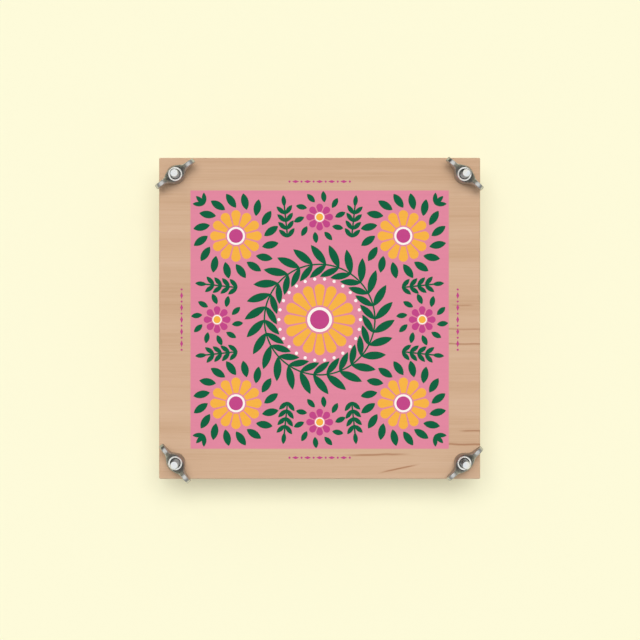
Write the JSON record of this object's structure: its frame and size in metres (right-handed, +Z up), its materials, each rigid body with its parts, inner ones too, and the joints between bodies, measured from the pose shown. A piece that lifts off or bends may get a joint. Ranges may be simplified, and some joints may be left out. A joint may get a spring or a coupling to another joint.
{
  "type": "flower press",
  "caption": "Square wooden flower press with a printed top board, cards and blotting papers between the boards, and a bolt with a wing nut at each corner.",
  "frame": {"origin": "centre of the lower board's underside, where the press rests", "axes": "+Z up out of the boards, +X to the right and +Y to the back as the printed face is seen from the front edge"},
  "size_m": [0.1832, 0.182, 0.0633],
  "materials": {
    "board_wood": "satin",
    "kraft_card": "matte",
    "blotting_paper": "matte",
    "zinc_steel": "satin",
    "zinc_nut": "satin",
    "ink_pink": "matte",
    "ink_green": "matte",
    "ink_yellow": "matte",
    "ink_white": "matte",
    "ink_magenta": "matte"
  },
  "bodies": {
    "press_base": {"bottom_board": "board_wood", "carriage_bolt_front_left": "zinc_steel", "carriage_bolt_front_right": "zinc_steel", "carriage_bolt_back_left": "zinc_steel", "carriage_bolt_back_right": "zinc_steel"},
    "card_1": {"card_1": "kraft_card"},
    "blotter_1": {"blotter_1": "blotting_paper"},
    "blotter_2": {"blotter_2": "blotting_paper"},
    "card_2": {"card_2": "kraft_card"},
    "blotter_3": {"blotter_3": "blotting_paper"},
    "blotter_4": {"blotter_4": "blotting_paper"},
    "card_3": {"card_3": "kraft_card"},
    "blotter_5": {"blotter_5": "blotting_paper"},
    "blotter_6": {"blotter_6": "blotting_paper"},
    "card_4": {"card_4": "kraft_card"},
    "blotter_7": {"blotter_7": "blotting_paper"},
    "blotter_8": {"blotter_8": "blotting_paper"},
    "card_5": {"card_5": "kraft_card"},
    "blotter_9": {"blotter_9": "blotting_paper"},
    "blotter_10": {"blotter_10": "blotting_paper"},
    "card_6": {"card_6": "kraft_card"},
    "upper_board": {"top_board": "board_wood", "washer_front_left": "zinc_steel", "washer_front_right": "zinc_steel", "washer_back_left": "zinc_steel", "washer_back_right": "zinc_steel", "print_pink": "ink_pink", "print_green": "ink_green", "print_yellow": "ink_yellow", "print_white": "ink_white", "print_magenta": "ink_magenta"},
    "wing_nut_front_left": {"wing_nut_front_left": "zinc_nut"},
    "wing_nut_front_right": {"wing_nut_front_right": "zinc_nut"},
    "wing_nut_back_left": {"wing_nut_back_left": "zinc_nut"},
    "wing_nut_back_right": {"wing_nut_back_right": "zinc_nut"}
  },
  "joints": [
    {"name": "upper_board_rise", "type": "slide", "parent": "press_base", "child": "upper_board", "axis": [0, 0, 1], "range_m": [0, 0.0136]},
    {"name": "wing_nut_front_left_turn", "type": "hinge", "parent": "upper_board", "child": "wing_nut_front_left", "pos_m": [-0.0806, -0.0806, 0.043], "axis": [0, 0, 1], "range_deg": [0, 6120]},
    {"name": "wing_nut_front_right_turn", "type": "hinge", "parent": "upper_board", "child": "wing_nut_front_right", "pos_m": [0.0806, -0.0806, 0.043], "axis": [0, 0, 1], "range_deg": [0, 6120]},
    {"name": "wing_nut_back_left_turn", "type": "hinge", "parent": "upper_board", "child": "wing_nut_back_left", "pos_m": [-0.0806, 0.0806, 0.043], "axis": [0, 0, 1], "range_deg": [0, 6120]},
    {"name": "wing_nut_back_right_turn", "type": "hinge", "parent": "upper_board", "child": "wing_nut_back_right", "pos_m": [0.0806, 0.0806, 0.043], "axis": [0, 0, 1], "range_deg": [0, 6120]},
    {"name": "card_1_lift", "type": "slide", "parent": "press_base", "child": "card_1", "axis": [0, 0, 1], "range_m": [0, 0.0003]},
    {"name": "blotter_1_lift", "type": "slide", "parent": "press_base", "child": "blotter_1", "axis": [0, 0, 1], "range_m": [0, 0.0006]},
    {"name": "blotter_2_lift", "type": "slide", "parent": "press_base", "child": "blotter_2", "axis": [0, 0, 1], "range_m": [0, 0.0026]},
    {"name": "card_2_lift", "type": "slide", "parent": "press_base", "child": "card_2", "axis": [0, 0, 1], "range_m": [0, 0.0029]},
    {"name": "blotter_3_lift", "type": "slide", "parent": "press_base", "child": "blotter_3", "axis": [0, 0, 1], "range_m": [0, 0.0032]},
    {"name": "blotter_4_lift", "type": "slide", "parent": "press_base", "child": "blotter_4", "axis": [0, 0, 1], "range_m": [0, 0.0052]},
    {"name": "card_3_lift", "type": "slide", "parent": "press_base", "child": "card_3", "axis": [0, 0, 1], "range_m": [0, 0.0055]},
    {"name": "blotter_5_lift", "type": "slide", "parent": "press_base", "child": "blotter_5", "axis": [0, 0, 1], "range_m": [0, 0.0058]},
    {"name": "blotter_6_lift", "type": "slide", "parent": "press_base", "child": "blotter_6", "axis": [0, 0, 1], "range_m": [0, 0.0078]},
    {"name": "card_4_lift", "type": "slide", "parent": "press_base", "child": "card_4", "axis": [0, 0, 1], "range_m": [0, 0.0081]},
    {"name": "blotter_7_lift", "type": "slide", "parent": "press_base", "child": "blotter_7", "axis": [0, 0, 1], "range_m": [0, 0.0084]},
    {"name": "blotter_8_lift", "type": "slide", "parent": "press_base", "child": "blotter_8", "axis": [0, 0, 1], "range_m": [0, 0.0104]},
    {"name": "card_5_lift", "type": "slide", "parent": "press_base", "child": "card_5", "axis": [0, 0, 1], "range_m": [0, 0.0107]},
    {"name": "blotter_9_lift", "type": "slide", "parent": "press_base", "child": "blotter_9", "axis": [0, 0, 1], "range_m": [0, 0.011]},
    {"name": "blotter_10_lift", "type": "slide", "parent": "press_base", "child": "blotter_10", "axis": [0, 0, 1], "range_m": [0, 0.013]},
    {"name": "card_6_lift", "type": "slide", "parent": "press_base", "child": "card_6", "axis": [0, 0, 1], "range_m": [0, 0.0133]}
  ],
  "couplings": [
    {"joint": "wing_nut_front_left_turn", "follows": "upper_board_rise", "rad_per_m": 7854},
    {"joint": "wing_nut_front_right_turn", "follows": "upper_board_rise", "rad_per_m": 7854},
    {"joint": "wing_nut_back_left_turn", "follows": "upper_board_rise", "rad_per_m": 7854},
    {"joint": "wing_nut_back_right_turn", "follows": "upper_board_rise", "rad_per_m": 7854},
    {"joint": "card_1_lift", "follows": "upper_board_rise", "ratio": 0.022059},
    {"joint": "blotter_1_lift", "follows": "upper_board_rise", "ratio": 0.044118},
    {"joint": "blotter_2_lift", "follows": "upper_board_rise", "ratio": 0.19118},
    {"joint": "card_2_lift", "follows": "upper_board_rise", "ratio": 0.21324},
    {"joint": "blotter_3_lift", "follows": "upper_board_rise", "ratio": 0.23529},
    {"joint": "blotter_4_lift", "follows": "upper_board_rise", "ratio": 0.38235},
    {"joint": "card_3_lift", "follows": "upper_board_rise", "ratio": 0.40441},
    {"joint": "blotter_5_lift", "follows": "upper_board_rise", "ratio": 0.42647},
    {"joint": "blotter_6_lift", "follows": "upper_board_rise", "ratio": 0.57353},
    {"joint": "card_4_lift", "follows": "upper_board_rise", "ratio": 0.59559},
    {"joint": "blotter_7_lift", "follows": "upper_board_rise", "ratio": 0.61765},
    {"joint": "blotter_8_lift", "follows": "upper_board_rise", "ratio": 0.76471},
    {"joint": "card_5_lift", "follows": "upper_board_rise", "ratio": 0.78676},
    {"joint": "blotter_9_lift", "follows": "upper_board_rise", "ratio": 0.80882},
    {"joint": "blotter_10_lift", "follows": "upper_board_rise", "ratio": 0.95588},
    {"joint": "card_6_lift", "follows": "upper_board_rise", "ratio": 0.97794}
  ]
}
